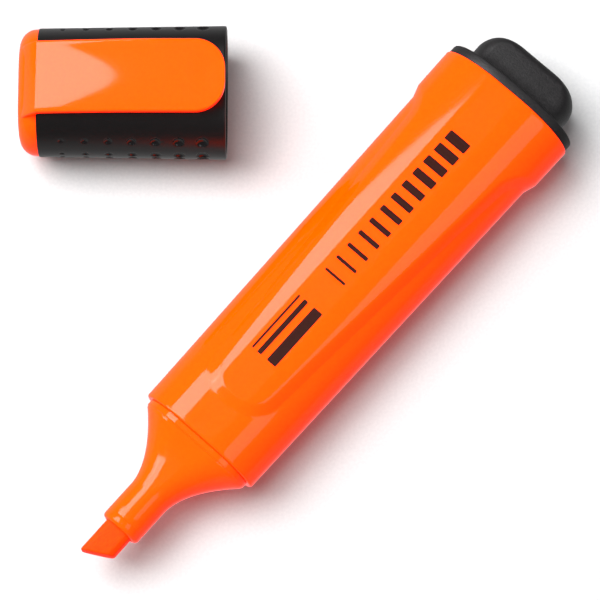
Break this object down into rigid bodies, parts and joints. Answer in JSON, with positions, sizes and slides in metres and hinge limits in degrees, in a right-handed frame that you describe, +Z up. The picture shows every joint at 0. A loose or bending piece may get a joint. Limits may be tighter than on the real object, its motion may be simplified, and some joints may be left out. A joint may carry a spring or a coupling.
{
  "type": "highlighter pen",
  "caption": "Flat chisel-tip highlighter lying uncapped beside its clip cap, with a bell-shaped nib section, raised tongues on the barrel and a dimpled grip cap.",
  "frame": {"origin": "centre of the bounding box of pen and cap as they lie, on the surface they lie on", "axes": "+Z up; +X along the cap from its closed end to its mouth; the pen lies 48.5 degrees round from +X, nib towards -X and -Y"},
  "size_m": [0.0936, 0.0911, 0.0183],
  "materials": {
    "orange_plastic": "glossy moulded polypropylene, fluorescent orange",
    "nib_felt": "bonded fibre soaked with orange ink",
    "core_fibre": "ink-soaked bonded fibre",
    "film": "thin clear film",
    "black_textured_plastic": "finely textured black moulding",
    "black_satin_plastic": "satin black moulding"
  },
  "bodies": {
    "pen": {"barrel": "orange_plastic", "front_section": "orange_plastic", "nib": "nib_felt", "reservoir_core": "core_fibre", "end_plug": "black_textured_plastic"},
    "ink_film": {"reservoir_film": "film"},
    "cap": {"cap_body": "black_satin_plastic", "seal_cup": "black_satin_plastic", "cap_end": "orange_plastic"},
    "clip": {"clip": "orange_plastic"}
  },
  "joints": [
    {"name": "cap_push", "type": "slide", "parent": "pen", "child": "ink_film", "axis": [0.6626, 0.749, 0], "range_m": [0, 0.0423]},
    {"name": "cap_turn", "type": "hinge", "parent": "ink_film", "child": "cap", "pos_m": [0.07407, -0.0479, 0.0077], "axis": [0, 0, 1], "range_deg": [0, 48.5]},
    {"name": "clip_flex", "type": "hinge", "parent": "cap", "child": "clip", "pos_m": [-0.0436, 0.03406, 0.0183], "axis": [0, -1, 0], "range_deg": [0, 4], "stiffness_Nm_per_rad": 0.4}
  ]
}
